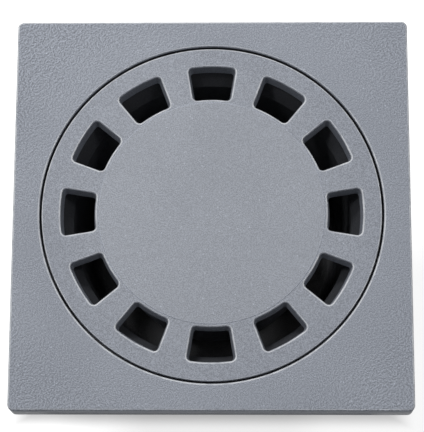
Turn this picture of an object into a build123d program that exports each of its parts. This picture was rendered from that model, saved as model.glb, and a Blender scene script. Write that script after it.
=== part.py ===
from build123d import *
import os
from math import cos, radians, sin, tan

# Bell-type yard gully trap in grey plastic, three pieces that lift apart by hand:
# a moulded body (flange, bowl, standpipe and outlet in one), a round grate that drops
# into the flange, and a loose bell that hangs over the standpipe and keeps the water seal.
# Millimetres, +Z up, origin at the centre of the outlet's lower end.

# Flange
plate_margin = 13.4
plate_corner = 3.0
plate_thickness = 4.0
plate_edge_round = 1.0
skirt_height = 16.0
skirt_wall = 3.0
skirt_draft = 1.0
flange_rib_count = 8
flange_rib_thickness = 2.4
flange_rib_setback = 3.0

# Seat of the grate in the flange
seat_clearance = 1.0
seat_width = 8.6
seat_wall = 3.0
seat_edge_round = 1.0

# Grate
grate_depth = 7.6
grate_skin = 4.0
grate_rim_wall = 3.0
grate_edge_round = 0.8
grate_setback = 0.4
grate_rib_thickness = 2.0
grate_rib_setback = 0.8
grate_hub_radius = 10.0
grate_ring_radius = 33.0
disc_rise = 0.3
disc_land = 0.4

# Openings of the grate
slot_count = 12
slot_land = 9.5
slot_length = 17.6
slot_half_angle = 9.4
slot_corner = 2.4
slot_draft = 8.0
slot_edge_break = 0.9
slot_collar_wall = 2.2

# Bowl
funnel_width = 7.0
funnel_depth = 11.0
bowl_taper = 3.0
bowl_wall = 3.0
bowl_floor = 3.0
bowl_corner = 6.0

# Outlet and standpipe, one straight tube, with a wider sleeve around it
outlet_diameter = 75.0
outlet_wall = 3.0
outlet_length = 50.0
outlet_lead_in = 1.5
sleeve_diameter = 110.0
sleeve_wall = 3.2
sleeve_length = 30.0
sleeve_lead_in = 1.0
standpipe_rim_break = 0.5

# Bell
bell_wall = 2.5
bell_draft = 1.5
bell_shoulder = 8.0
bell_headroom = 3.5
fin_count = 4
fin_thickness = 2.5
fin_reach = 6.5
fin_tail = 20.0
fin_clearance = 0.5

# Water passages
floor_gap = 15.0
water_seal = 50.0
weir_gap = 18.0
seal_gap = 13.5
bowl_gap = 14.5

# Levels, stacked up from the end of the outlet
bowl_underside = outlet_length
floor_level = bowl_underside + bowl_floor
bell_rim_level = floor_level + floor_gap
standpipe_level = bell_rim_level + water_seal
crown_level = standpipe_level + weir_gap
bell_top_level = crown_level + bell_wall
seat_level = bell_top_level + bell_headroom
mouth_level = seat_level - funnel_depth
grate_top_level = seat_level + grate_depth
plate_level = grate_top_level + grate_setback

# Radii, stacked out from the outlet
outlet_radius = outlet_diameter / 2
bell_radius = outlet_radius + seal_gap + bell_wall
bell_crown_radius = bell_radius - (bell_top_level - bell_rim_level) * tan(radians(bell_draft))
bowl_floor_radius = bell_radius + bowl_gap
bowl_mouth_radius = bowl_floor_radius + bowl_taper
ledge_radius = bowl_mouth_radius + funnel_width
seat_radius = ledge_radius + seat_width
grate_radius = seat_radius - seat_clearance
slot_outer_radius = grate_radius - slot_land
slot_inner_radius = slot_outer_radius - slot_length
sleeve_radius = sleeve_diameter / 2
plate_side = 2 * (seat_radius + plate_margin)


# Body: square flange with a drafted skirt, round seat, funnel, bowl, standpipe and outlet
with BuildPart() as body:
    # Plate and skirt
    with BuildSketch(Plane.XY.offset(plate_level)):
        RectangleRounded(plate_side, plate_side, plate_corner)
    extrude(amount=-skirt_height, taper=-skirt_draft)
    fillet(body.faces().sort_by(Axis.Z)[-1].edges(), plate_edge_round)

    # Space under the plate, inside the skirt
    inner_side = plate_side - 2 * skirt_wall
    with BuildSketch(Plane.XY.offset(plate_level - plate_thickness)):
        RectangleRounded(inner_side, inner_side, plate_corner)
    extrude(amount=plate_thickness - skirt_height, taper=-skirt_draft, mode=Mode.SUBTRACT)

    # Radial ribs that stiffen the plate
    with BuildSketch(Plane.XY.offset(plate_level - plate_thickness)):
        with PolarLocations(0, flange_rib_count):
            Rectangle(plate_side, flange_rib_thickness, align=(Align.MIN, Align.CENTER))
        Rectangle(inner_side + skirt_wall, inner_side + skirt_wall, mode=Mode.INTERSECT)
        Circle(seat_radius + seat_wall / 2, mode=Mode.SUBTRACT)
    extrude(amount=plate_thickness + flange_rib_setback - skirt_height)

    # Outer skin of the seat ring, funnel and bowl
    with BuildSketch(Plane.XZ):
        with BuildLine():
            Polyline(
                (0, plate_level - plate_thickness / 2),
                (seat_radius + seat_wall, plate_level - plate_thickness / 2),
                (seat_radius + seat_wall, seat_level - seat_wall),
                (ledge_radius + seat_wall, seat_level - seat_wall),
                (bowl_mouth_radius + bowl_wall, mouth_level),
                (bowl_floor_radius + bowl_wall, bowl_underside),
                (0, bowl_underside),
                close=True,
            )
        bowl_outline = make_face()
        fillet(
            bowl_outline.vertices().group_by(Axis.Y)[0].sort_by(Axis.X)[-1],
            bowl_corner + bowl_floor,
        )
    revolve(axis=Axis.Z)

    # Hollow of the seat, funnel and bowl, open at the top
    with BuildSketch(Plane.XZ):
        with BuildLine():
            Polyline(
                (0, plate_level + grate_depth),
                (seat_radius, plate_level + grate_depth),
                (seat_radius, seat_level),
                (ledge_radius, seat_level),
                (bowl_mouth_radius, mouth_level),
                (bowl_floor_radius, floor_level),
                (0, floor_level),
                close=True,
            )
        hollow_outline = make_face()
        fillet(
            hollow_outline.vertices().group_by(Axis.Y)[0].sort_by(Axis.X)[-1],
            bowl_corner,
        )
    revolve(axis=Axis.Z, mode=Mode.SUBTRACT)
    seat_edge = (
        body.edges()
        .filter_by(GeomType.CIRCLE)
        .group_by(Axis.Z)[-1]
        .sort_by(SortBy.RADIUS)[-1]
    )
    fillet(seat_edge, seat_edge_round)

    # Standpipe and outlet
    with BuildSketch(Plane.XZ):
        with BuildLine():
            Polyline(
                (0, 0),
                (outlet_radius - outlet_lead_in / 2, 0),
                (outlet_radius, outlet_lead_in),
                (outlet_radius, standpipe_level),
                (0, standpipe_level),
                close=True,
            )
        make_face()
    revolve(axis=Axis.Z)

    # Sleeve around the outlet
    with BuildSketch(Plane.XZ):
        with BuildLine():
            Polyline(
                (sleeve_radius - sleeve_wall, bowl_underside + bowl_floor / 2),
                (sleeve_radius - sleeve_wall, bowl_underside - sleeve_length),
                (sleeve_radius - sleeve_lead_in / 2, bowl_underside - sleeve_length),
                (sleeve_radius, bowl_underside - sleeve_length + sleeve_lead_in),
                (sleeve_radius, bowl_underside + bowl_floor / 2),
                close=True,
            )
        make_face()
    revolve(axis=Axis.Z)

    # Bore through the standpipe and outlet
    with BuildSketch():
        Circle(outlet_radius - outlet_wall)
    extrude(amount=standpipe_level, mode=Mode.SUBTRACT)
    standpipe_rim = (
        body.edges()
        .filter_by(GeomType.CIRCLE)
        .filter_by(lambda rim: abs(rim.center().Z - standpipe_level) < outlet_wall / 10)
    )
    chamfer(standpipe_rim, standpipe_rim_break)


# Grate: skin with a raised middle and a deeper rim, a collar around each opening, and ribs underneath
deck_level = grate_top_level - disc_rise
skin_level = grate_top_level - grate_skin
collar_level = grate_top_level - grate_skin / 2

# Upper outline of one opening: a ring sector with rounded corners
with BuildSketch() as slot_outline:
    along = cos(radians(slot_half_angle))
    across = sin(radians(slot_half_angle))
    near_corner = (slot_inner_radius * along, slot_inner_radius * across)
    far_corner = (slot_outer_radius * along, slot_outer_radius * across)
    with BuildLine():
        near_end = ThreePointArc(
            (near_corner[0], -near_corner[1]), (slot_inner_radius, 0), near_corner
        )
        far_end = ThreePointArc(
            (far_corner[0], -far_corner[1]), (slot_outer_radius, 0), far_corner
        )
        Line(near_end @ 0, far_end @ 0)
        Line(near_end @ 1, far_end @ 1)
    make_face()
    fillet(slot_outline.vertices(), slot_corner)

with BuildPart() as opening:
    # Drafted hole, wide end up
    with BuildSketch(Plane.XY.offset(deck_level)):
        add(slot_outline.sketch)
    extrude(amount=seat_level - deck_level)
    draft(opening.faces().group_by(Axis.Z)[1], Plane.XY.offset(deck_level), -slot_draft)

with BuildPart() as collar:
    # Wall that lines the hole, with the same draft outside
    with BuildSketch(Plane.XY.offset(collar_level)):
        add(slot_outline.sketch)
        offset(amount=slot_collar_wall)
    extrude(amount=seat_level - collar_level)
    draft(collar.faces().group_by(Axis.Z)[1], Plane.XY.offset(deck_level), -slot_draft)

with BuildPart() as grate:
    # Skin and rim, with a slightly raised disc inside the ring of openings
    disc_radius = slot_inner_radius - slot_edge_break - disc_land - disc_rise
    with BuildSketch(Plane.XZ):
        with BuildLine():
            Polyline(
                (0, grate_top_level),
                (disc_radius, grate_top_level),
                (disc_radius + disc_rise, deck_level),
                (grate_radius, deck_level),
                (grate_radius, seat_level),
                (grate_radius - grate_rim_wall, seat_level),
                (grate_radius - grate_rim_wall, skin_level),
                (0, skin_level),
                close=True,
            )
        rim_outline = make_face()
        fillet(
            rim_outline.vertices().group_by(Axis.X)[-1].sort_by(Axis.Y)[-1],
            grate_edge_round,
        )
    revolve(axis=Axis.Z)

    # Radial ribs between the collars, from the hub to the rim
    with BuildSketch(Plane.XY.offset(skin_level)):
        rib_length = grate_radius - grate_hub_radius - grate_rim_wall / 2
        with PolarLocations(0, slot_count, start_angle=180 / slot_count):
            with Locations((grate_hub_radius, 0)):
                Rectangle(rib_length, grate_rib_thickness, align=(Align.MIN, Align.CENTER))
    extrude(amount=grate_skin + grate_rib_setback - grate_depth)

    # Hub, middle ring and the ring along the inner ends of the openings
    for ring_radius in (grate_hub_radius, grate_ring_radius, slot_inner_radius - slot_collar_wall):
        with BuildSketch(Plane.XY.offset(skin_level)):
            Circle(ring_radius + grate_rib_thickness / 2)
            Circle(ring_radius - grate_rib_thickness / 2, mode=Mode.SUBTRACT)
        extrude(amount=grate_skin + grate_rib_setback - grate_depth)

    # Collars and openings, with the openings' upper edges broken
    with PolarLocations(0, slot_count):
        add(collar.part)
    with PolarLocations(0, slot_count):
        add(opening.part, mode=Mode.SUBTRACT)
    slot_edges = grate.edges(Select.LAST).group_by(Axis.Z)[-1]
    chamfer(slot_edges, slot_edge_break)


# Bell: drafted cup, mouth down, with fins that stand on the standpipe's rim and centre it
bell_slope = tan(radians(bell_draft))
tail_level = standpipe_level - fin_tail
with BuildPart() as bell_fin:
    with BuildSketch(Plane.XZ):
        with BuildLine():
            Polyline(
                (outlet_radius - outlet_wall - fin_reach, crown_level + bell_wall / 2),
                (outlet_radius - outlet_wall - fin_reach, standpipe_level),
                (outlet_radius + fin_clearance, standpipe_level),
                (outlet_radius + fin_clearance, tail_level),
                (bell_crown_radius + (bell_top_level - tail_level) * bell_slope - bell_wall / 2, tail_level),
                (bell_crown_radius - bell_wall / 2, crown_level + bell_wall / 2),
                close=True,
            )
        fin_outline = make_face()
        fillet(
            fin_outline.vertices().group_by(Axis.Y)[-1].sort_by(Axis.X)[-1],
            bell_shoulder - bell_wall / 2,
        )
    extrude(amount=fin_thickness / 2, both=True)

with BuildPart() as bell:
    with BuildSketch(Plane.XZ):
        with BuildLine():
            Polyline(
                (0, bell_top_level),
                (bell_crown_radius, bell_top_level),
                (bell_radius, bell_rim_level),
                (0, bell_rim_level),
                close=True,
            )
        outer_outline = make_face()
        fillet(
            outer_outline.vertices().group_by(Axis.Y)[-1].sort_by(Axis.X)[-1],
            bell_shoulder,
        )
    revolve(axis=Axis.Z)
    with BuildSketch(Plane.XZ):
        with BuildLine():
            Polyline(
                (0, crown_level),
                (bell_crown_radius - bell_wall, crown_level),
                (bell_radius - bell_wall, bell_rim_level),
                (0, bell_rim_level),
                close=True,
            )
        inner_outline = make_face()
        fillet(
            inner_outline.vertices().group_by(Axis.Y)[-1].sort_by(Axis.X)[-1],
            bell_shoulder - bell_wall,
        )
    revolve(axis=Axis.Z, mode=Mode.SUBTRACT)
    with PolarLocations(0, fin_count, start_angle=180 / fin_count):
        add(bell_fin.part)


os.makedirs("parts", exist_ok=True)
body.part.label = "body"
grate.part.label = "grate"
bell.part.label = "bell"
export_step(body.part, "parts/body.step")
export_step(grate.part, "parts/grate.step")
export_step(bell.part, "parts/bell.step")
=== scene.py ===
"""Yard gully trap in grey moulded plastic: body with its square flange, round grate and bell."""

import math

import bmesh
import bpy
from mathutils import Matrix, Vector


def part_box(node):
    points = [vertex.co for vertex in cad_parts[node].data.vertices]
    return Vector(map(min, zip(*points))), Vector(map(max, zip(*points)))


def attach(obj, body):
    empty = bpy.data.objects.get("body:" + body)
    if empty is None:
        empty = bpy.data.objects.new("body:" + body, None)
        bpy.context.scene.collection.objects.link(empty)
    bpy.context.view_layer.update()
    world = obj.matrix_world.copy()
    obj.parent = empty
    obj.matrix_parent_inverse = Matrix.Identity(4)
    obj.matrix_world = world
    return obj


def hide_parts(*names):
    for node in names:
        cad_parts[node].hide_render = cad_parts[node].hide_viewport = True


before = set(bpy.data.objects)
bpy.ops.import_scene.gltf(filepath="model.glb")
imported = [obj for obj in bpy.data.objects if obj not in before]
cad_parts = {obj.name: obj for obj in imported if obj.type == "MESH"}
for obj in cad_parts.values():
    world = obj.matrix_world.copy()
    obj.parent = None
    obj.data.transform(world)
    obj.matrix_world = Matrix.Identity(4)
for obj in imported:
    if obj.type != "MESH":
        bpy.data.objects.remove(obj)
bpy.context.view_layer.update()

bl_info = {
    "name": "Gully Trap",
    "version": (1, 0, 0),
    "blender": (4, 5, 0),
    "location": "View3D > Sidebar > Gully",
    "description": "Builds a yard gully trap from its flange, bowl, grate and bell",
    "category": "Add Mesh",
}

MM = 0.001
SAME_PLACE = 0.01 * MM
ROUND_STEPS = 192
EDGE_STEPS = 5
CORNER_STEPS = 8
ARC_STEPS = 6
UP = Vector((0, 0, 1))
SMOOTH_ANGLE = math.radians(32)
SENSOR_WIDTH = 36

# How much flat is left beside a rounding before it is made, as a multiple of its radius
FLANGE_ROOM = 1.2
LIP_ROOM = 1.15
CORNER_ROOM = 1.1

# How a normal is read: facing up, on an edge that is smoothed and painted pale as a highlight, and leaning
# to the shaded near side
UPWARD = 0.2
RUBBED_AND_LIT_LEAN = (0.55, 0.985)
SHADED_LEAN = -0.35

body_low, body_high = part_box("body")
grate_low, grate_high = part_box("grate")
bell_low, bell_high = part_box("bell")


# Properties

def length(name, description, default):
    """A length in metres."""
    return bpy.props.FloatProperty(
        name=name, description=description, default=default, min=0.0, precision=4, unit="LENGTH"
    )


def angle(name, description, degrees):
    """An angle, given in degrees."""
    return bpy.props.FloatProperty(
        name=name, description=description, default=math.radians(degrees), subtype="ANGLE"
    )


def count(name, description, default):
    """A number of like things."""
    return bpy.props.IntProperty(name=name, description=description, default=default, min=1)


def share(name, description, default):
    """A share from 0 to 1."""
    return bpy.props.FloatProperty(
        name=name, description=description, default=default, min=0.0, max=1.0, subtype="FACTOR"
    )


def strength(name, description, default, unit="NONE"):
    """A strength, with no unit or its own."""
    return bpy.props.FloatProperty(
        name=name, description=description, default=default, min=0.0, unit=unit
    )


def colour(name, description, default):
    """A linear colour."""
    return bpy.props.FloatVectorProperty(
        name=name, description=description, default=default, size=3, min=0.0, max=1.0, subtype="COLOR"
    )


def triple(name, description, default, subtype="TRANSLATION"):
    """Three values of one kind, a place unless another kind is given."""
    return bpy.props.FloatVectorProperty(
        name=name, description=description, default=default, size=3, precision=5, subtype=subtype
    )


class FlangeSizes(bpy.types.PropertyGroup):
    """The square flange with its skirt, its seat for the grate and the ribs below it."""

    corner: length("Corner", "Radius of the flange's upright corners", 3 * MM)
    edge: length("Edge", "Rounding of the flange's upper edge", 1 * MM)
    thickness: length("Thickness", "Thickness of the flange's plate", 4 * MM)
    skirt_height: length("Skirt height", "Height of the skirt with the plate", 16 * MM)
    skirt_wall: length("Skirt wall", "Wall of the skirt", 3 * MM)
    skirt_draft: angle("Skirt draft", "Lean of the skirt, wider at its foot", 1)
    rib_count: count("Ribs", "Number of ribs below the plate", 8)
    rib_thickness: length("Rib thickness", "Thickness of the ribs below the plate", 2.4 * MM)
    rib_setback: length("Rib setback", "How far the ribs stay above the skirt's foot", 3 * MM)
    seat_clearance: length("Seat clearance", "Gap round the grate", 1 * MM)
    seat_width: length("Seat width", "Width of the ledge that carries the grate", 8.6 * MM)
    seat_wall: length("Seat wall", "Wall of the seat", 3 * MM)
    seat_edge: length("Seat edge", "Rounding of the seat's upper edge", 1 * MM)


class BowlSizes(bpy.types.PropertyGroup):
    """The funnel, bowl, standpipe and outlet below the flange."""

    funnel_width: length("Funnel width", "Width of the funnel inside the ledge", 7 * MM)
    funnel_depth: length("Funnel depth", "Depth of the funnel", 11 * MM)
    gap: length("Gap", "Water passage between the bell and the bowl", 14.5 * MM)
    taper: length("Taper", "How much wider the bowl's mouth is than its floor", 3 * MM)
    wall: length("Wall", "Wall of the bowl", 3 * MM)
    floor: length("Floor", "Thickness of the bowl's floor", 3 * MM)
    corner: length("Corner", "Rounding inside the bowl's floor", 6 * MM)
    outlet_radius: length("Outlet radius", "Outside of the outlet and standpipe", 37.5 * MM)
    outlet_wall: length("Outlet wall", "Wall of the outlet and standpipe", 3 * MM)
    outlet_length: length("Outlet length", "Length of the outlet below the bowl", 50 * MM)
    outlet_lead_in: length("Outlet lead-in", "Lead-in at the outlet's end", 1.5 * MM)
    seal: length("Water seal", "Height of the standpipe's rim above the bell's", 50 * MM)
    sleeve_radius: length("Sleeve radius", "Outside of the sleeve round the outlet", 55 * MM)
    sleeve_wall: length("Sleeve wall", "Wall of the sleeve", 3.2 * MM)
    sleeve_length: length("Sleeve length", "Length of the sleeve below the bowl", 30 * MM)
    sleeve_lead_in: length("Sleeve lead-in", "Lead-in at the sleeve's end", 1 * MM)
    rim_edge: length("Rim edge", "Rounding of the free rims", 0.5 * MM)


class GrateSizes(bpy.types.PropertyGroup):
    """The round grate with its openings, collars and ribs."""

    skin: length("Skin", "Thickness of the grate's skin", 4 * MM)
    rim_wall: length("Rim wall", "Wall of the grate's rim", 3 * MM)
    edge: length("Edge", "Rounding of the grate's upper edge", 0.8 * MM)
    foot_edge: length("Foot edge", "Rounding of the rim's foot", 0.3 * MM)
    disc_rise: length("Disc rise", "How far the solid middle stands above the bars", 0.3 * MM)
    disc_land: length("Disc land", "Flat between an opening and the middle's foot", 0.4 * MM)
    rib_thickness: length("Rib thickness", "Thickness of the ribs below the skin", 2 * MM)
    rib_setback: length("Rib setback", "How far the ribs stay above the rim's foot", 0.8 * MM)
    hub_radius: length("Hub radius", "Radius of the inner ring of ribs", 10 * MM)
    ring_radius: length("Ring radius", "Radius of the middle ring of ribs", 33 * MM)
    openings: count("Openings", "Number of openings", 12)
    land: length("Land", "Width of the land outside the openings", 9.5 * MM)
    opening_length: length("Opening length", "Length of an opening along the radius", 17.6 * MM)
    opening_half_angle: angle("Opening half angle", "Half the angle that an opening spans", 9.4)
    opening_corner: length("Opening corner", "Radius of an opening's corners", 2.4 * MM)
    opening_draft: angle("Opening draft", "Lean of an opening's walls", 8)
    lip: length("Lip", "Rounding of an opening's upper edge", 0.9 * MM)
    collar_wall: length("Collar wall", "Wall round an opening below the skin", 2.2 * MM)


class BellSizes(bpy.types.PropertyGroup):
    """The bell that hangs over the standpipe, and its fins."""

    wall: length("Wall", "Wall of the bell", 2.5 * MM)
    draft: angle("Draft", "Lean of the bell's side, wider at its rim", 1.5)
    shoulder: length("Shoulder", "Rounding of the bell's shoulder", 8 * MM)
    rim_edge: length("Rim edge", "Rounding of the bell's rim", 0.5 * MM)
    fins: count("Fins", "Number of fins that carry the bell", 4)
    fin_thickness: length("Fin thickness", "Thickness of a fin", 2.5 * MM)
    fin_reach: length("Fin reach", "How far a fin reaches in over the standpipe's bore", 6.5 * MM)
    fin_tail: length("Fin tail", "How far a fin reaches down beside the standpipe", 20 * MM)
    fin_clearance: length("Fin clearance", "Gap between a fin and the standpipe", 0.5 * MM)


class PlasticFinish(bpy.types.PropertyGroup):
    """The grey plastic and its surface."""

    flange_colour: colour("Flange colour", "Colour of the flange", (0.262, 0.284, 0.332))
    grate_colour: colour("Grate colour", "Colour of the grate", (0.243, 0.263, 0.308))
    plain_colour: colour("Plain colour", "Colour of the bowl's outside and the bell", (0.245, 0.265, 0.31))
    # The inner colour is painted shade for the hollow below the grate.
    inner_colour: colour("Inner colour", "Colour of the seat and the bowl's inside", (0.04, 0.042, 0.048))
    # The pale colour paints the highlights on edges and the light on the foot of the flange's corners, and
    # also colours the specks and the grate's paler middle.
    pale_colour: colour("Pale colour", "Colour of rubbed edges and specks", (0.70, 0.72, 0.75))
    flange_roughness: share("Flange roughness", "Roughness of the grained flange", 0.50)
    grate_roughness: share("Grate roughness", "Roughness of the smooth grate", 0.45)
    plain_roughness: share("Plain roughness", "Roughness of the bowl's outside and the bell", 0.42)
    inner_roughness: share("Inner roughness", "Roughness of the seat and the bowl's inside", 0.5)
    drift_size: length("Drift size", "Size of the soft clouds in the colour", 70 * MM)
    drift: share("Drift", "How much the colour drifts", 0.035)
    rough_drift: share("Roughness drift", "How much the roughness drifts", 0.04)
    grain_size: length("Grain size", "Spacing of the grain's wrinkles", 1.6 * MM)
    grain_flow: angle("Grain flow", "Main direction of the wrinkles", -45)
    grain_spread: angle("Grain spread", "How far the wrinkles turn from their main direction", 75)
    grain_depth: length("Grain depth", "Depth of the flange's grain", 0.13 * MM)
    grain_tone: share("Grain tone", "How much the colour follows the grain", 0.36)
    speckle_size: length("Speckle size", "Spacing of the fine speckle", 0.4 * MM)
    speckle_depth: length("Speckle depth", "Depth of the fine speckle", 0.07 * MM)
    speckle_tone: share("Speckle tone", "How much the colour follows the speckle", 0.3)
    specks: share("Specks", "Share of the speckle that shows as pale specks", 0.025)
    speck_tone: share("Speck tone", "How much paler the pale specks are", 0.35)
    middle_paleness: share("Middle polish", "How much paler the grate's solid middle is", 0.09)
    # Painted highlight on the edge of the grate's solid middle.
    middle_edge_highlight: share("Middle edge", "How much paler the worn edge of the solid middle is", 0.22)
    # The edges are made smoother, and painted pale as a highlight where they face the lamps.
    rub_and_highlight: share("Rub", "How pale the rubbed edges are", 0.85)
    rub_and_highlight_size: length("Rub size", "Length of the breaks along the rubbed edges", 6 * MM)
    rubbed_and_lit_roughness: share("Rubbed roughness", "Roughness of the rubbed edges", 0.3)
    side_roughness: share("Side roughness", "Roughness of the flange's sides", 0.68)
    # Painted shade: the foot of the flange's sides is darkened between the corners.
    foot_shade: share("Foot shade", "How dark the foot of the flange's sides is", 0.55)
    # Painted light: the foot of the flange's corners is made paler, as if lit by the floor.
    corner_painted_light: share("Corner wear", "How pale the worn foot of the flange's corners is", 0.6)


class StageChoices(bpy.types.PropertyGroup):
    """The floor, the lamps, the world and the camera."""

    floor_size: length("Floor size", "Side of the floor", 6.0)
    floor_colour: colour("Floor colour", "Colour of the floor", (0.60, 0.60, 0.60))
    open_glow: strength("Open glow", "How bright the open floor looks by itself", 0.80)
    # Painted shadow: the floor's glow drops under the flange, and further at the left, where a lamp
    # reaches in.
    shade_glow: strength("Shade glow", "How bright the floor under the flange looks by itself", 0.38)
    left_shade_glow: strength("Left shade glow", "The same at the left, where a lamp reaches in", 0.25)
    shade_reach: triple(
        "Shade reach",
        "How far the shade under the flange reaches left, right, and near and far",
        (104 * MM, 96 * MM, 85.2 * MM),
        "XYZ_LENGTH",
    )
    shade_fade: triple(
        "Shade fade",
        "How far the shade fades out past its reach",
        (18 * MM, 19 * MM, 10 * MM),
        "XYZ_LENGTH",
    )
    key_place: triple("Key place", "Where the main lamp stands, at the far side", (-0.25, 0.75, 1.15))
    key_size: length("Key size", "Side of the main lamp", 0.22)
    key_power: strength("Key power", "Watts of the main lamp", 6.5, "POWER")
    left_place: triple("Left place", "Where the lamp at the left stands", (-0.62, 0.27, 1.6))
    left_power: strength("Left power", "Watts of the lamp at the left", 7.5, "POWER")
    right_place: triple("Right place", "Where the lamp at the right stands", (0.62, 0.25, 1.6))
    right_power: strength("Right power", "Watts of the lamp at the right", 4.2, "POWER")
    side_size: length("Side size", "Side of the lamps at the left and right", 0.25)
    world: strength("World", "Strength of the even light from all round", 0.10)
    camera_place: triple("Camera place", "Where the camera stands", (0.0181749, -0.1911343, 0.9965093))
    camera_turn: triple(
        "Camera turn",
        "Tilt, yaw and roll of the camera",
        (0.2194059, 0.0206211, -0.0008853),
        "EULER",
    )
    lens: bpy.props.FloatProperty(
        name="Lens", description="Focal length of the camera", default=144.14, unit="CAMERA"
    )


# Mesh helpers

def start_edit():
    """Enter edit mode."""
    bpy.ops.object.mode_set(mode="EDIT")


def end_edit():
    """Leave edit mode."""
    bpy.ops.object.mode_set(mode="OBJECT")


def select_all():
    """Select the whole mesh, in edit mode."""
    bpy.ops.mesh.select_all(action="SELECT")


def select(piece, kind, test):
    """Select a piece's vertices, edges or faces by a test of each, and nothing else."""
    bpy.ops.mesh.select_mode(type=kind)
    bpy.ops.mesh.select_all(action="DESELECT")
    shape = bmesh.from_edit_mesh(piece.data)
    for part in {"VERT": shape.verts, "EDGE": shape.edges, "FACE": shape.faces}[kind]:
        if test(part):
            part.select_set(True)
    shape.select_flush_mode()
    bmesh.update_edit_mesh(piece.data)


def face_outwards():
    """Turn every face outwards, in edit mode."""
    select_all()
    bpy.ops.mesh.normals_make_consistent(inside=False)


def rename(piece, name):
    """Give a piece and its mesh one name."""
    piece.name = name
    piece.data.name = name


def activate(*pieces):
    """Select pieces and nothing else, and make the first one active."""
    bpy.ops.object.select_all(action="DESELECT")
    for piece in pieces:
        piece.select_set(True)
    bpy.context.view_layer.objects.active = pieces[0]


def start_piece(name, place):
    """Start a piece as one vertex at a place, in edit mode, with its object at the origin."""
    bpy.ops.object.select_all(action="DESELECT")
    bpy.ops.mesh.primitive_plane_add(size=MM, location=(0, 0, 0))
    piece = bpy.context.object
    rename(piece, name)
    start_edit()
    bpy.ops.mesh.select_mode(type="VERT")
    select_all()
    bpy.ops.mesh.merge(type="CENTER")
    bpy.ops.transform.translate(value=place)
    return piece


def start_chain(name, places):
    """Start a piece as a chain of edges through places, in edit mode."""
    piece = start_piece(name, places[0])
    for start, end in zip(places, places[1:]):
        bpy.ops.mesh.extrude_region_move(TRANSFORM_OT_translate={"value": end - start})
    return piece


def at_level(level):
    """A test for an edge or face whose vertices all lie at one level."""
    return lambda part: all(abs(vertex.co.z - level) < SAME_PLACE for vertex in part.verts)


def fill_level(piece, level):
    """Close a piece across its open edges at one level."""
    flat = at_level(level)
    select(piece, "EDGE", lambda edge: len(edge.link_faces) < 2 and flat(edge))
    bpy.ops.mesh.fill(use_beauty=True)


def cut_corner(piece, place, offset):
    """Round a piece's corner at a place, from an offset along its two edges."""
    select(piece, "VERT", lambda vertex: (vertex.co - place).length < SAME_PLACE)
    bpy.ops.mesh.bevel(affect="VERTICES", offset=offset, segments=EDGE_STEPS)


def round_outline(piece, level, radius, steps):
    """Round the edges between what is flat at one level and the rest of a piece."""
    flat = at_level(level)
    select(piece, "EDGE", lambda edge: flat(edge) and any(not flat(face) for face in edge.link_faces))
    bpy.ops.mesh.bevel(offset=radius, segments=steps, profile=0.5, affect="EDGES")


def spin_profile(name, profile):
    """Turn a chain of (radius, level, rounding) corners about the upright axis."""
    places = [Vector((radius, 0, level)) for radius, level, _ in profile]
    piece = start_chain(name, places)
    for before, place, after, (_, _, rounding) in zip(places, places[1:], places[2:], profile[1:]):
        if rounding:
            turn = (place - before).angle(after - place)
            cut_corner(piece, place, rounding * math.tan(turn / 2))
    select_all()
    bpy.ops.mesh.spin(steps=ROUND_STEPS, angle=math.tau, center=(0, 0, 0), axis=UP)
    bpy.ops.mesh.remove_doubles(threshold=SAME_PLACE)
    end_edit()
    return piece


def join(pieces):
    """Join pieces into the first one."""
    activate(*pieces)
    if len(pieces) > 1:
        bpy.ops.object.join()
    return pieces[0]


def close_piece(name, parts, levels):
    """Join open parts into one piece, and close it across its open edges at each level."""
    piece = join(parts)
    rename(piece, name)
    start_edit()
    for level in levels:
        fill_level(piece, level)
    face_outwards()
    end_edit()
    return piece


def apply_modifier(piece, kind, **settings):
    """Add one modifier to a piece and apply it."""
    activate(piece)
    modifier = piece.modifiers.new(kind.title(), kind)
    for name, value in settings.items():
        setattr(modifier, name, value)
    bpy.ops.object.modifier_apply(modifier=modifier.name)


def unite(piece, tool):
    """Fuse a closed tool into a closed piece."""
    apply_modifier(piece, "BOOLEAN", object=tool, operation="UNION", solver="EXACT")
    bpy.data.objects.remove(tool)


def add_rib(turn, start, end, thickness, foot, head):
    """An upright rib along the radius, turned about the upright axis."""
    middle = (start + end) / 2
    bpy.ops.mesh.primitive_cube_add(
        size=1,
        location=(middle * math.cos(turn), middle * math.sin(turn), (foot + head) / 2),
        rotation=(0, 0, turn),
        scale=(end - start, thickness, head - foot),
    )
    return bpy.context.object


def copy_round(copies):
    """Copy the whole mesh round the upright axis, in edit mode."""
    select_all()
    bpy.ops.mesh.spin(
        steps=copies - 1, dupli=True, angle=math.tau * (copies - 1) / copies, center=(0, 0, 0), axis=UP
    )


def mark_rubbed_and_lit_edges(piece, lowest, highest):
    """Mark the rounded edges between two levels for smoothing and a painted highlight, apart from those
    that lean to the shaded near side.
    """
    bpy.ops.geometry.attribute_add(name="rubbed_and_lit", domain="POINT", data_type="FLOAT")
    start_edit()

    def is_rubbed_and_lit(vertex):
        leans = RUBBED_AND_LIT_LEAN[0] < vertex.normal.z < RUBBED_AND_LIT_LEAN[1]
        shaded = vertex.normal.y <= SHADED_LEAN
        return leans and not shaded and lowest < vertex.co.z < highest - SAME_PLACE

    select(piece, "VERT", is_rubbed_and_lit)
    bpy.ops.mesh.attribute_set(value_float=1.0)
    end_edit()


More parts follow.
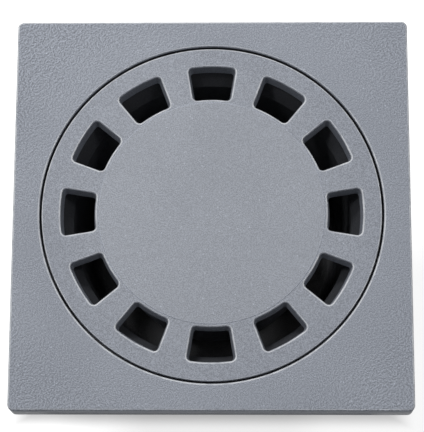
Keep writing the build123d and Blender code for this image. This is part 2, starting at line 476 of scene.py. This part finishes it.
def finish_piece(piece, node, materials, rubbed_and_lit):
    """Merge, smooth and dress a piece, seat it on its body and hide the node that it stands for."""
    start_edit()
    select_all()
    bpy.ops.mesh.remove_doubles(threshold=SAME_PLACE)
    face_outwards()
    end_edit()
    mark_rubbed_and_lit_edges(piece, *rubbed_and_lit)
    bpy.ops.object.shade_smooth_by_angle(angle=SMOOTH_ANGLE)
    apply_modifier(piece, "WEIGHTED_NORMAL", keep_sharp=True)
    for material in materials:
        piece.data.materials.append(material)
    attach(piece, "root")
    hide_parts(node)


def assign_material(piece, index, test):
    """Give one of a piece's materials to the faces that pass a test."""
    activate(piece)
    start_edit()
    select(piece, "FACE", test)
    piece.active_material_index = index
    bpy.ops.object.material_slot_assign()
    end_edit()


# Body

def rounded_block(name, foot_side, head_side, corner, foot, head):
    """A square block with rounded upright corners and drafted sides."""
    bpy.ops.object.select_all(action="DESELECT")
    bpy.ops.mesh.primitive_plane_add(size=foot_side, location=(0, 0, foot))
    piece = bpy.context.object
    rename(piece, name)
    bpy.ops.object.transform_apply(location=True)
    start_edit()
    select_all()
    bpy.ops.mesh.bevel(affect="VERTICES", offset=corner, segments=CORNER_STEPS)
    select_all()
    bpy.ops.mesh.extrude_region_move(TRANSFORM_OT_translate={"value": (0, 0, head - foot)})
    draft = head_side / foot_side
    bpy.ops.transform.resize(value=(draft, draft, 1), center_override=(0, 0, head))
    return piece


def add_flange(sizes, top):
    """The flange's square shell: plate edge, skirt and the space inside it."""
    foot = top - sizes.skirt_height
    underside = top - sizes.thickness
    foot_side = body_high.x - body_low.x
    lean = 2 * math.tan(sizes.skirt_draft)
    head_side = foot_side - sizes.skirt_height * lean
    outside = rounded_block("flange", foot_side, head_side, sizes.corner, foot, top)
    select(outside, "FACE", at_level(top))
    bpy.ops.mesh.inset(thickness=sizes.edge * FLANGE_ROOM, depth=0)
    round_outline(outside, top, sizes.edge, EDGE_STEPS)
    select(outside, "FACE", at_level(foot))
    bpy.ops.mesh.delete(type="ONLY_FACE")
    select(outside, "FACE", lambda face: len(face.verts) > 4 and at_level(top)(face))
    bpy.ops.mesh.delete(type="ONLY_FACE")
    end_edit()

    inner_head = head_side - 2 * sizes.skirt_wall
    inner_foot = inner_head + (underside - foot) * lean
    inside = rounded_block("flange_inside", inner_foot, inner_head, sizes.corner, foot, underside)
    select(inside, "FACE", lambda face: at_level(foot)(face) or at_level(underside)(face))
    bpy.ops.mesh.delete(type="ONLY_FACE")
    end_edit()
    return outside, inside


def bowl_profile(flange, bowl, top):
    """The corners of the round parts, from the seat's upper edge in and out again to the plate."""
    seat = grate_low.z
    seat_radius = grate_high.x + flange.seat_clearance
    ledge_radius = seat_radius - flange.seat_width
    mouth_radius = ledge_radius - bowl.funnel_width
    mouth = seat - bowl.funnel_depth
    floor_radius = mouth_radius - bowl.taper
    underside = bowl.outlet_length
    floor = underside + bowl.floor
    standpipe = bell_low.z + bowl.seal
    outlet = bowl.outlet_radius
    bore = outlet - bowl.outlet_wall
    sleeve = bowl.sleeve_radius
    sleeve_inside = sleeve - bowl.sleeve_wall
    sleeve_foot = underside - bowl.sleeve_length
    rim = bowl.rim_edge
    return [
        (seat_radius + 2 * flange.seat_edge, top, 0),
        (seat_radius, top, flange.seat_edge),
        (seat_radius, seat, rim / 2),
        (ledge_radius, seat, rim),
        (mouth_radius, mouth, 2 * rim),
        (floor_radius, floor, bowl.corner),
        (outlet, floor, rim),
        (outlet, standpipe, rim),
        (bore, standpipe, rim),
        (bore, 0, rim / 2),
        (outlet - bowl.outlet_lead_in / 2, 0, rim / 2),
        (outlet, bowl.outlet_lead_in, rim),
        (outlet, underside, rim),
        (sleeve_inside, underside, rim),
        (sleeve_inside, sleeve_foot, rim / 2),
        (sleeve - bowl.sleeve_lead_in / 2, sleeve_foot, rim / 2),
        (sleeve, sleeve_foot + bowl.sleeve_lead_in, rim),
        (sleeve, underside, rim),
        (floor_radius + bowl.wall, underside, bowl.corner + bowl.wall),
        (mouth_radius + bowl.wall, mouth, 2 * rim),
        (ledge_radius + flange.seat_wall, seat - flange.seat_wall, rim),
        (seat_radius + flange.seat_wall, seat - flange.seat_wall, rim),
        (seat_radius + flange.seat_wall, top - flange.thickness, 0),
    ]


def add_flange_ribs(sizes, top):
    """The ribs below the plate, from the seat's wall into the skirt."""
    seat_wall = grate_high.x + sizes.seat_clearance + sizes.seat_wall / 2
    half_side = (body_high.x - body_low.x) / 2 - sizes.skirt_wall / 2 - sizes.edge / 2
    foot = top - sizes.skirt_height + sizes.rib_setback
    head = top - sizes.thickness / 2
    ribs = []
    for index in range(sizes.rib_count):
        turn = math.tau * index / sizes.rib_count
        reach = half_side / max(abs(math.cos(turn)), abs(math.sin(turn)))
        ribs.append(add_rib(turn, seat_wall, reach, sizes.rib_thickness, foot, head))
    tool = join(ribs)
    bpy.ops.object.transform_apply(location=True, rotation=True, scale=True)
    return tool


class GULLY_OT_add_body(bpy.types.Operator):
    """Add the body: square flange, seat, funnel, bowl, standpipe and outlet"""

    bl_idname = "gully.add_body"
    bl_label = "Add Body"

    def execute(self, context):
        flange = context.scene.gully_flange
        bowl = context.scene.gully_bowl
        top = body_high.z
        skirt_foot = top - flange.skirt_height
        outside, inside = add_flange(flange, top)
        round_parts = spin_profile("round_parts", bowl_profile(flange, bowl, top))
        levels = (top, top - flange.thickness, skirt_foot)
        body = close_piece("gully_body", [outside, inside, round_parts], levels)
        unite(body, add_flange_ribs(flange, top))
        finish = context.scene.gully_finish
        materials = [plain_plastic(finish), flange_plastic(finish), inner_plastic(finish)]
        rubbed_and_lit_foot = top - 1.5 * flange.edge
        finish_piece(body, "body", materials, (rubbed_and_lit_foot, top))

        # The seat, funnel and bowl's inside take the inner plastic, painted dark as shade.
        seat_radius = grate_high.x + flange.seat_clearance
        dark_foot = bowl.outlet_length + bowl.floor / 2
        dark_head = top - 2 * flange.seat_edge

        def is_flange(face):
            middle = face.calc_center_median()
            outer_side = max(abs(middle.x), abs(middle.y)) > body_high.x - flange.skirt_wall
            shows = middle.z > top - flange.edge and middle.xy.length > seat_radius
            return shows or (outer_side and middle.z > skirt_foot + SAME_PLACE)

        def is_inside(face):
            middle = face.calc_center_median()
            faces_up = face.normal.z > UPWARD
            faces_in = faces_up or face.normal.xy.dot(middle.xy) < 0 or middle.xy.length < bell_high.x
            in_bowl = middle.xy.length < seat_radius + SAME_PLACE and dark_foot < middle.z < dark_head
            return in_bowl and faces_in

        assign_material(body, 1, is_flange)
        assign_material(body, 2, is_inside)
        return {"FINISHED"}


# Grate

def opening_face(name, sizes, margin, level):
    """A flat face with the outline of one opening, grown by a margin."""
    outer = grate_high.x - sizes.land
    inner = outer - sizes.opening_length
    piece = None
    for radius in (inner - margin, outer + margin):
        half_angle = sizes.opening_half_angle + math.asin(margin / radius)
        place = Vector((radius * math.cos(half_angle), radius * math.sin(half_angle), level))
        if piece is None:
            piece = start_piece(name, place)
        else:
            bpy.ops.mesh.primitive_plane_add(size=MM, location=place)
            bpy.ops.mesh.merge(type="CENTER")
        corner_room = (sizes.opening_corner + margin) * CORNER_ROOM / radius
        middle_turn = 2 * (half_angle - corner_room)
        for steps, turn in ((1, corner_room), (ARC_STEPS, middle_turn), (1, corner_room)):
            bpy.ops.mesh.spin(steps=steps, angle=turn, center=(0, 0, 0), axis=UP)
    select_all()
    bpy.ops.mesh.bridge_edge_loops()
    bpy.ops.mesh.dissolve_faces()
    corner_slope = math.tan(sizes.opening_half_angle * 0.95)
    select(piece, "VERT", lambda vertex: abs(vertex.co.y) > vertex.co.x * corner_slope)
    bpy.ops.mesh.bevel(affect="VERTICES", offset=sizes.opening_corner + margin, segments=EDGE_STEPS + 1)
    bpy.ops.mesh.select_mode(type="FACE")
    face_outwards()
    if bmesh.from_edit_mesh(piece.data).faces[:][0].normal.z < 0:
        bpy.ops.mesh.flip_normals()
    return piece


def add_openings(sizes, deck, skin, seat):
    """The openings, each with its rounded lip, drafted wall and the collar round it below the skin."""
    lean = math.tan(sizes.opening_draft)
    wall = opening_face("opening_wall", sizes, sizes.lip * LIP_ROOM, deck)
    bpy.ops.mesh.inset(thickness=sizes.lip * LIP_ROOM, depth=0)
    bpy.ops.mesh.inset(thickness=(deck - seat) * lean, depth=seat - deck)
    bpy.ops.mesh.delete(type="ONLY_FACE")
    round_outline(wall, deck, sizes.lip, EDGE_STEPS + 1)
    end_edit()

    collar = opening_face("opening_collar", sizes, sizes.collar_wall, deck)
    bpy.ops.mesh.inset(thickness=(deck - skin) * lean, depth=skin - deck)
    bpy.ops.mesh.inset(thickness=(skin - seat) * lean, depth=seat - skin)
    bpy.ops.mesh.delete(type="ONLY_FACE")
    select(collar, "VERT", lambda vertex: vertex.co.z > skin + SAME_PLACE)
    bpy.ops.mesh.delete(type="VERT")
    end_edit()

    openings = join([wall, collar])
    start_edit()
    fill_level(openings, seat)
    copy_round(sizes.openings)
    end_edit()
    return openings


def add_rings(radii, thickness, foot, head):
    """Upright rings, one round each radius."""
    rings = []
    for radius in radii:
        inner = radius - thickness / 2
        outer = radius + thickness / 2
        corners = ((inner, head), (inner, foot), (outer, foot), (outer, head), (inner, head))
        rings.append(spin_profile("ring", [(*corner, 0) for corner in corners]))
    return join(rings)


def add_spokes(sizes, end, foot, head):
    """Upright ribs from the hub outwards, set between the openings."""
    spokes = add_rib(0, sizes.hub_radius, end, sizes.rib_thickness, foot, head)
    bpy.ops.object.transform_apply(location=True, scale=True)
    start_edit()
    select_all()
    half_step = math.pi / sizes.openings
    bpy.ops.transform.rotate(value=half_step, orient_axis="Z", center_override=(0, 0, 0))
    copy_round(sizes.openings)
    end_edit()
    return spokes


class GULLY_OT_add_grate(bpy.types.Operator):
    """Add the grate: skin, rim, openings with their collars, and ribs"""

    bl_idname = "gully.add_grate"
    bl_label = "Add Grate"

    def execute(self, context):
        sizes = context.scene.gully_grate
        radius = grate_high.x
        top = grate_high.z
        seat = grate_low.z
        deck = top - sizes.disc_rise
        skin = top - sizes.skin
        inner = radius - sizes.land - sizes.opening_length
        rim_inside = radius - sizes.rim_wall

        disc_foot = inner - sizes.lip - sizes.disc_land
        disc = disc_foot - sizes.disc_rise
        middle = spin_profile(
            "middle",
            [
                (disc - 2 * sizes.disc_rise, top, 0),
                (disc, top, sizes.disc_rise),
                (disc_foot, deck, 0),
                (disc_foot + sizes.disc_land / 2, deck, 0),
            ],
        )
        rim = spin_profile(
            "rim",
            [
                (radius - 2 * sizes.edge, deck, 0),
                (radius, deck, sizes.edge),
                (radius, seat, sizes.foot_edge),
                (rim_inside, seat, sizes.foot_edge),
                (rim_inside, skin, 0),
            ],
        )
        openings = add_openings(sizes, deck, skin, seat)
        grate = close_piece("gully_grate", [middle, rim, openings], (top, deck, skin))

        foot = seat + sizes.rib_setback
        head = skin + sizes.skin / 4
        collar_ring = inner - sizes.collar_wall
        radii = (sizes.hub_radius, sizes.ring_radius, collar_ring)
        unite(grate, add_rings(radii, sizes.rib_thickness, foot, head))
        unite(grate, add_spokes(sizes, radius - sizes.rim_wall / 2, foot, head))
        materials = [grate_plastic(context.scene.gully_finish)]
        finish_piece(grate, "grate", materials, (deck - sizes.lip, deck))
        return {"FINISHED"}


# Bell

def add_fins(sizes, bowl, crown, crown_radius):
    """The fins that stand on the standpipe's rim and centre the bell."""
    standpipe = bell_low.z + bowl.seal
    tail = standpipe - sizes.fin_tail
    inner = bowl.outlet_radius - bowl.outlet_wall - sizes.fin_reach
    beside = bowl.outlet_radius + sizes.fin_clearance
    head = crown + sizes.wall / 2
    shoulder = crown_radius - sizes.wall / 2
    tail_reach = shoulder + (bell_high.z - tail) * math.tan(sizes.draft)
    outline = [
        (inner, head),
        (inner, standpipe),
        (beside, standpipe),
        (beside, tail),
        (tail_reach, tail),
        (shoulder, head),
    ]
    places = [Vector((radius, -sizes.fin_thickness / 2, level)) for radius, level in outline]
    fins = start_chain("fins", places)
    select_all()
    bpy.ops.mesh.edge_face_add()
    cut_corner(fins, places[-1], sizes.shoulder - sizes.wall / 2)
    select_all()
    bpy.ops.mesh.extrude_region_move(TRANSFORM_OT_translate={"value": (0, sizes.fin_thickness, 0)})
    face_outwards()
    bpy.ops.transform.rotate(value=math.pi / sizes.fins, orient_axis="Z", center_override=(0, 0, 0))
    copy_round(sizes.fins)
    end_edit()
    return fins


class GULLY_OT_add_bell(bpy.types.Operator):
    """Add the bell that hangs over the standpipe"""

    bl_idname = "gully.add_bell"
    bl_label = "Add Bell"

    def execute(self, context):
        sizes = context.scene.gully_bell
        radius = bell_high.x
        rim = bell_low.z
        top = bell_high.z
        crown = top - sizes.wall
        crown_radius = radius - (top - rim) * math.tan(sizes.draft)
        shell = spin_profile(
            "shell",
            [
                (0, top, 0),
                (crown_radius, top, sizes.shoulder),
                (radius, rim, sizes.rim_edge),
                (radius - sizes.wall, rim, sizes.rim_edge),
                (crown_radius - sizes.wall, crown, sizes.shoulder - sizes.wall),
                (0, crown, 0),
            ],
        )
        bell = close_piece("gully_bell", [shell], ())
        unite(bell, add_fins(sizes, context.scene.gully_bowl, crown, crown_radius))
        materials = [plain_plastic(context.scene.gully_finish)]
        finish_piece(bell, "bell", materials, (top - sizes.shoulder, top))
        return {"FINISHED"}


# Materials

BLACK = (0, 0, 0)

# Distances from the axis, and depths below the top, at which a look begins and is full
GRAIN_REACH = (92 * MM, 125 * MM)
GRAIN_STRENGTH = (0.28, 0.7)
FAR_LEFT_REACH = (60 * MM, 150 * MM)
FAR_LEFT_STRENGTH = (0.0, 0.3)
SIDE_DEPTH = (0.35 * MM, 0.85 * MM)
# The foot depth bounds a painted shade, and the corner light depth a painted light.
FOOT_DEPTH = (6 * MM, 13 * MM)
CORNER_LIGHT_DEPTH = (4 * MM, 7 * MM)
CORNER_REACH = (126 * MM, 134 * MM)
MIDDLE_REACH = (57.4 * MM, 56.8 * MM)
MIDDLE_SHARE = 0.55
LAND_REACH = (84 * MM, 62 * MM)
# Where the painted highlight round the solid middle's edge lies
HIGHLIGHT_OUTSIDE = (57.5 * MM, 57.1 * MM)
HIGHLIGHT_INSIDE = (56.4 * MM, 56.8 * MM)

# The values of a noise or a mask between which a look comes in, and how much of the edge smoothing and
# painted highlight its breaks leave
CLOUD_RANGE = (0.3, 0.7)
WRINKLE_RANGE = (0.25, 0.75)
SPECK_RANGE = (0.5, 0.3)
BREAK_RANGE = (0.3, 0.6)
BREAK_SHARE = (0.45, 1.0)
EDGE_RANGE = (0.25, 1.0)


def set_inputs(tree, node, values):
    """Link each input of a node to a socket, or set it to a value."""
    for socket, value in values.items():
        if isinstance(value, bpy.types.NodeSocket):
            tree.links.new(value, node.inputs[socket])
        else:
            node.inputs[socket].default_value = value


def add_node(tree, kind, values=None, **settings):
    """Add a node with its own settings, and set or link its inputs."""
    node = tree.nodes.new("ShaderNode" + kind)
    for name, value in settings.items():
        setattr(node, name, value)
    set_inputs(tree, node, values or {})
    return node


def maths(tree, operation, *values):
    """The result of a Math node."""
    return add_node(tree, "Math", dict(enumerate(values)), operation=operation).outputs[0]


def vector_maths(tree, operation, *values):
    """The result of a Vector Math node."""
    return add_node(tree, "VectorMath", dict(enumerate(values)), operation=operation).outputs[0]


def remap(tree, value, low, high, to_low=0.0, to_high=1.0):
    """A value brought smoothly from one range to another."""
    values = {0: value, 1: low, 2: high, 3: to_low, 4: to_high}
    return add_node(tree, "MapRange", values, interpolation_type="SMOOTHSTEP").outputs[0]


def mix_colours(tree, factor, first, second):
    """Two colours mixed by a factor."""
    return add_node(tree, "Mix", {0: factor, 6: first, 7: second}, data_type="RGBA").outputs[2]


def mix_values(tree, factor, first, second):
    """Two values mixed by a factor."""
    return add_node(tree, "Mix", {0: factor, 2: first, 3: second}, data_type="FLOAT").outputs[0]


def noise(tree, position, scale=1.0, detail=0.0, roughness=0.5):
    """The value of a noise texture at a position."""
    values = {"Vector": position, "Scale": scale, "Detail": detail, "Roughness": roughness}
    return add_node(tree, "TexNoise", values, noise_dimensions="3D").outputs[0]


def reach_from_axis(tree, position):
    """The distance from the upright axis."""
    flat = vector_maths(tree, "MULTIPLY", position, (1, 1, 0))
    return add_node(tree, "VectorMath", {0: flat}, operation="LENGTH").outputs["Value"]


def invert(tree, mask):
    """A mask turned round."""
    return maths(tree, "SUBTRACT", 1.0, mask)


def scale_colour(tree, shade, factor):
    """A colour times a factor."""
    return add_node(tree, "VectorMath", {0: shade, "Scale": factor}, operation="SCALE").outputs[0]


def vary(tree, shade, pattern, depth):
    """A colour made darker and lighter by a share, as a pattern goes from 0 to 1."""
    return scale_colour(tree, shade, maths(tree, "MULTIPLY_ADD", pattern, 2 * depth, 1 - depth))


def lighten(tree, shade, mask, gain):
    """A colour made lighter by a share, where a mask is 1."""
    return scale_colour(tree, shade, maths(tree, "MULTIPLY_ADD", mask, gain, 1.0))


def blend(tree, shade, mask, amount, other):
    """A colour brought towards another by an amount, where a mask is 1."""
    return mix_colours(tree, maths(tree, "MULTIPLY", mask, amount), shade, (*other, 1))


def fill_grain(tree, scaled, given):
    """Fine wrinkles that run along one main direction and turn from it here and there."""
    swing = 4.0
    turn = maths(tree, "SUBTRACT", noise(tree, scaled, scale=0.14, detail=1.0), 0.5)
    turn = maths(tree, "MULTIPLY", turn, given["Spread"])
    flow = maths(tree, "MULTIPLY_ADD", turn, swing, given["Flow"])
    values = {"Vector": scaled, "Scale": 1.0, "Frequency": 1.0, "Anisotropy": 0.45, "Orientation": flow}
    wrinkles = add_node(tree, "TexGabor", values, gabor_type="2D").outputs["Value"]
    return {"Height": remap(tree, wrinkles, *WRINKLE_RANGE)}


def fill_speckle(tree, scaled, given):
    """Fine pits, and a few pale specks, at most one to a cell."""
    pits = remap(tree, noise(tree, scaled, scale=0.8, detail=1.0), *CLOUD_RANGE)
    cells = add_node(tree, "TexVoronoi", {"Vector": scaled, "Scale": 0.4}).outputs
    chance = add_node(tree, "SeparateXYZ", {0: cells["Color"]}).outputs[0]
    chosen = maths(tree, "LESS_THAN", chance, given["Share"])
    specks = maths(tree, "MULTIPLY", remap(tree, cells["Distance"], *SPECK_RANGE), chosen)
    return {"Height": pits, "Specks": specks}


def fill_drift(tree, scaled, given):
    """Soft clouds, as the colour of moulded plastic drifts."""
    clouds = noise(tree, scaled, detail=3.0, roughness=0.55)
    return {"Drift": remap(tree, clouds, *CLOUD_RANGE)}


def fill_rub_and_highlight(tree, scaled, given):
    """Edges smoothed and painted pale as a highlight, broken up along their length."""
    breaks = remap(tree, noise(tree, scaled, detail=2.0), *BREAK_RANGE, *BREAK_SHARE)
    edge = remap(tree, given["Edge"], *EDGE_RANGE)
    return {"Rub": maths(tree, "MULTIPLY", edge, breaks)}


# What fills each group, and its inputs beside the position and the size of the pattern
GROUPS = {
    "Moulded grain": (fill_grain, ("Flow", "Spread")),
    "Fine speckle": (fill_speckle, ("Share",)),
    "Colour drift": (fill_drift, ()),
    "Edge rub": (fill_rub_and_highlight, ("Edge",)),
}


def node_group(name):
    """One of the shader node groups, made when it is first asked for."""
    if name in bpy.data.node_groups:
        return bpy.data.node_groups[name]
    fill, labels = GROUPS[name]
    tree = bpy.data.node_groups.new(name, "ShaderNodeTree")
    tree.interface.new_socket(name="Position", in_out="INPUT", socket_type="NodeSocketVector")
    for label in ("Size", *labels):
        tree.interface.new_socket(name=label, in_out="INPUT", socket_type="NodeSocketFloat")
    given = tree.nodes.new("NodeGroupInput").outputs
    size = given["Size"]
    sizes = add_node(tree, "CombineXYZ", {0: size, 1: size, 2: size}).outputs[0]
    results = fill(tree, vector_maths(tree, "DIVIDE", given["Position"], sizes), given)
    for label in results:
        tree.interface.new_socket(name=label, in_out="OUTPUT", socket_type="NodeSocketFloat")
    set_inputs(tree, tree.nodes.new("NodeGroupOutput"), results)
    return tree


def place_group(tree, name, **values):
    """Place a node group in a material with its own values."""
    node = tree.nodes.new("ShaderNodeGroup")
    node.node_tree = node_group(name)
    set_inputs(tree, node, values)
    return node.outputs


def new_material(name):
    """An empty material with its tree and shader."""
    material = bpy.data.materials.new(name)
    material.use_nodes = True
    return material, material.node_tree, material.node_tree.nodes["Principled BSDF"]


def moulded_plastic(finish, part, detail=None):
    """Moulded grey plastic: drifting colour, speckle, smoothed edges with a painted highlight, and a
    part's own detail.
    """
    name = part.title() + " plastic"
    if name in bpy.data.materials:
        return bpy.data.materials[name]
    material, tree, shader = new_material(name)
    tint = getattr(finish, part + "_colour")
    roughness = getattr(finish, part + "_roughness")
    position = add_node(tree, "TexCoord").outputs["Object"]
    edge = add_node(tree, "Attribute", attribute_name="rubbed_and_lit", attribute_type="GEOMETRY").outputs["Fac"]
    drift = place_group(tree, "Colour drift", Position=position, Size=finish.drift_size)["Drift"]
    speckle = place_group(
        tree, "Fine speckle", Position=position, Size=finish.speckle_size, Share=finish.specks
    )
    rub_and_highlight = place_group(tree, "Edge rub", Position=position, Size=finish.rub_and_highlight_size, Edge=edge)["Rub"]

    shade = vary(tree, tint, drift, finish.drift)
    shade = vary(tree, shade, speckle["Height"], finish.speckle_tone)
    rough = mix_values(tree, drift, roughness + finish.rough_drift, roughness - finish.rough_drift)
    height = maths(tree, "MULTIPLY", speckle["Height"], finish.speckle_depth)
    if detail:
        shade, rough, height = detail(tree, finish, position, shade, rough, height)
    shade = lighten(tree, shade, speckle["Specks"], finish.speck_tone)
    # Painted highlight on the marked edges, which are also made smoother.
    shade = blend(tree, shade, rub_and_highlight, finish.rub_and_highlight, finish.pale_colour)
    rough = mix_values(tree, rub_and_highlight, rough, finish.rubbed_and_lit_roughness)
    bump = add_node(tree, "Bump", {"Strength": 1.0, "Distance": 1.0, "Height": height}).outputs[0]
    set_inputs(tree, shader, {"Base Color": shade, "Roughness": rough, "Normal": bump})
    return material


def flange_detail(tree, finish, position, shade, rough, height):
    """The flange's grain, stronger at the corners and the far left, a painted shade on the foot of its
    sides and painted light on the foot of its corners.
    """
    grain = place_group(
        tree,
        "Moulded grain",
        Position=position,
        Size=finish.grain_size,
        Flow=finish.grain_flow,
        Spread=finish.grain_spread,
    )["Height"]
    across = add_node(tree, "SeparateXYZ", {0: position}).outputs
    reach = reach_from_axis(tree, position)
    depth = maths(tree, "SUBTRACT", body_high.z, across[2])
    far_left = maths(tree, "SUBTRACT", across[1], across[0])
    side = remap(tree, depth, *SIDE_DEPTH)
    strong = remap(tree, reach, *GRAIN_REACH, *GRAIN_STRENGTH)
    strong = maths(tree, "ADD", strong, remap(tree, far_left, *FAR_LEFT_REACH, *FAR_LEFT_STRENGTH))
    strong = maths(tree, "MULTIPLY", strong, invert(tree, side))
    even = mix_values(tree, strong, 0.5, grain)
    shade = vary(tree, shade, even, finish.grain_tone)
    height = maths(tree, "MULTIPLY_ADD", even, finish.grain_depth, height)
    rough = mix_values(tree, side, rough, finish.side_roughness)

    # Painted shade on the foot of the sides, and painted light on the foot of the corners, where the floor
    # throws light up.
    corner = remap(tree, reach, *CORNER_REACH)
    dark = maths(tree, "MULTIPLY", remap(tree, depth, *FOOT_DEPTH), invert(tree, corner))
    lit = maths(tree, "MULTIPLY", remap(tree, depth, *CORNER_LIGHT_DEPTH), corner)
    shade = blend(tree, shade, dark, finish.foot_shade, BLACK)
    shade = blend(tree, shade, lit, finish.corner_painted_light, finish.pale_colour)
    return shade, rough, height


def grate_detail(tree, finish, position, shade, rough, height):
    """The grate's paler solid middle with a painted highlight on its edge, and the land that darkens
    towards the rim.
    """
    reach = reach_from_axis(tree, position)
    # Paler at the solid middle, and less pale across the land towards the rim.
    middle = maths(tree, "MULTIPLY", remap(tree, reach, *MIDDLE_REACH), MIDDLE_SHARE)
    land = maths(tree, "MULTIPLY", remap(tree, reach, *LAND_REACH), 1 - MIDDLE_SHARE)
    paleness = maths(tree, "ADD", middle, land)
    # Painted highlight: a pale band round the edge of the solid middle.
    edge = maths(tree, "MULTIPLY", remap(tree, reach, *HIGHLIGHT_OUTSIDE), remap(tree, reach, *HIGHLIGHT_INSIDE))
    shade = blend(tree, shade, paleness, finish.middle_paleness, finish.pale_colour)
    shade = lighten(tree, shade, edge, finish.middle_edge_highlight)
    return shade, rough, height


def plain_plastic(finish):
    """Smooth plastic of the bowl's outside and the bell."""
    return moulded_plastic(finish, "plain")


def inner_plastic(finish):
    """Plastic of the seat, funnel and bowl, painted dark as shade, as little light reaches below the
    grate.
    """
    return moulded_plastic(finish, "inner")


def flange_plastic(finish):
    """Grained plastic of the flange."""
    return moulded_plastic(finish, "flange", flange_detail)


def grate_plastic(finish):
    """Smooth plastic of the grate."""
    return moulded_plastic(finish, "grate", grate_detail)


# Stage

WHITE = (1, 1, 1, 1)

# Where the floor's painted shadow changes from its left tone, measured across
LEFT_SHADE = (-85 * MM, -35 * MM)


def add_lamp(name, place, aim, size, power):
    """A square area lamp that looks at a point."""
    bpy.ops.object.light_add(type="AREA", location=place)
    lamp = bpy.context.object
    lamp.name = name
    lamp.data.shape = "SQUARE"
    lamp.data.size = size
    lamp.data.energy = power
    lamp.rotation_euler = (Vector(place) - aim).to_track_quat("Z", "Y").to_euler()


def seen_by_camera(tree):
    """A value that is 1 for camera, glossy and transmission rays."""
    path = add_node(tree, "LightPath").outputs
    total = maths(tree, "MAXIMUM", path["Is Camera Ray"], path["Is Glossy Ray"])
    return maths(tree, "MAXIMUM", total, path["Is Transmission Ray"])


def floor_material(choices):
    """A pale floor that looks white in the open, with a painted shadow under the flange where its glow
    drops, beside the shadow that the lamps cast.
    """
    material, tree, shader = new_material("Floor")
    position = add_node(tree, "TexCoord").outputs["Object"]
    across = add_node(tree, "SeparateXYZ", {0: position}).outputs
    ways = (maths(tree, "MULTIPLY", across[0], -1.0), across[0], maths(tree, "ABSOLUTE", across[1]))
    outside = 0.0
    for way, reach, fade in zip(ways, choices.shade_reach, choices.shade_fade):
        outside = maths(tree, "MAXIMUM", outside, remap(tree, way, reach, reach + fade))
    # Painted shadow: a lower glow under the flange, lowest at the left.
    shade = remap(tree, across[0], *LEFT_SHADE, choices.left_shade_glow, choices.shade_glow)
    glow = mix_values(tree, outside, shade, choices.open_glow)
    values = {
        "Base Color": (*choices.floor_colour, 1),
        "Roughness": 1.0,
        "Specular IOR Level": 0.0,
        "Emission Color": WHITE,
        "Emission Strength": maths(tree, "MULTIPLY", glow, seen_by_camera(tree)),
    }
    set_inputs(tree, shader, values)
    return material


def set_world(choices):
    """Even light from all round that the camera sees as white."""
    world = bpy.data.worlds.new("Studio")
    world.use_nodes = True
    tree = world.node_tree
    level = mix_values(tree, seen_by_camera(tree), choices.world, 1.0)
    set_inputs(tree, tree.nodes["Background"], {"Color": WHITE, "Strength": level})
    return world


class GULLY_OT_set_stage(bpy.types.Operator):
    """Set the floor, lamps, world and camera"""

    bl_idname = "gully.set_stage"
    bl_label = "Set Stage"

    def execute(self, context):
        choices = context.scene.gully_stage
        bpy.ops.object.select_all(action="DESELECT")
        bpy.ops.mesh.primitive_plane_add(size=choices.floor_size, location=(0, 0, 0))
        floor = bpy.context.object
        floor.name = "floor"
        floor.data.materials.append(floor_material(choices))

        aim = UP * body_high.z
        add_lamp("Key lamp", choices.key_place, aim, choices.key_size, choices.key_power)
        add_lamp("Left lamp", choices.left_place, aim, choices.side_size, choices.left_power)
        add_lamp("Right lamp", choices.right_place, aim, choices.side_size, choices.right_power)
        context.scene.world = set_world(choices)

        bpy.ops.object.camera_add(location=choices.camera_place)
        camera = bpy.context.object
        camera.name = "Camera"
        camera.rotation_mode = "ZYX"
        camera.rotation_euler = choices.camera_turn
        camera.data.lens = choices.lens
        camera.data.sensor_width = SENSOR_WIDTH
        context.scene.camera = camera
        context.scene.view_settings.view_transform = "Standard"
        return {"FINISHED"}


# Panel and registration

PROPERTIES = {
    "gully_flange": FlangeSizes,
    "gully_bowl": BowlSizes,
    "gully_grate": GrateSizes,
    "gully_bell": BellSizes,
    "gully_finish": PlasticFinish,
    "gully_stage": StageChoices,
}
OPERATORS = (GULLY_OT_add_body, GULLY_OT_add_grate, GULLY_OT_add_bell, GULLY_OT_set_stage)


class GULLY_PT_build(bpy.types.Panel):
    """The steps and sizes of the gully trap"""

    bl_idname = "GULLY_PT_build"
    bl_label = "Gully Trap"
    bl_space_type = "VIEW_3D"
    bl_region_type = "UI"
    bl_category = "Gully"

    def draw(self, context):
        for operator in OPERATORS:
            self.layout.operator(operator.bl_idname)
        for name, group in PROPERTIES.items():
            box = self.layout.box()
            for field in group.__annotations__:
                box.prop(getattr(context.scene, name), field)


def register():
    """Register the classes and put the choices on the scene."""
    for group in PROPERTIES.values():
        bpy.utils.register_class(group)
    for name, group in PROPERTIES.items():
        setattr(bpy.types.Scene, name, bpy.props.PointerProperty(type=group))
    for operator in OPERATORS:
        bpy.utils.register_class(operator)
    bpy.utils.register_class(GULLY_PT_build)


def unregister():
    """Take back what register did."""
    bpy.utils.unregister_class(GULLY_PT_build)
    for operator in reversed(OPERATORS):
        bpy.utils.unregister_class(operator)
    for name, group in reversed(PROPERTIES.items()):
        delattr(bpy.types.Scene, name)
        bpy.utils.unregister_class(group)


def main():
    """Build the trap and its stage."""
    register()
    bpy.ops.gully.add_body()
    bpy.ops.gully.add_grate()
    bpy.ops.gully.add_bell()
    bpy.ops.gully.set_stage()


if __name__ == "__main__":
    main()
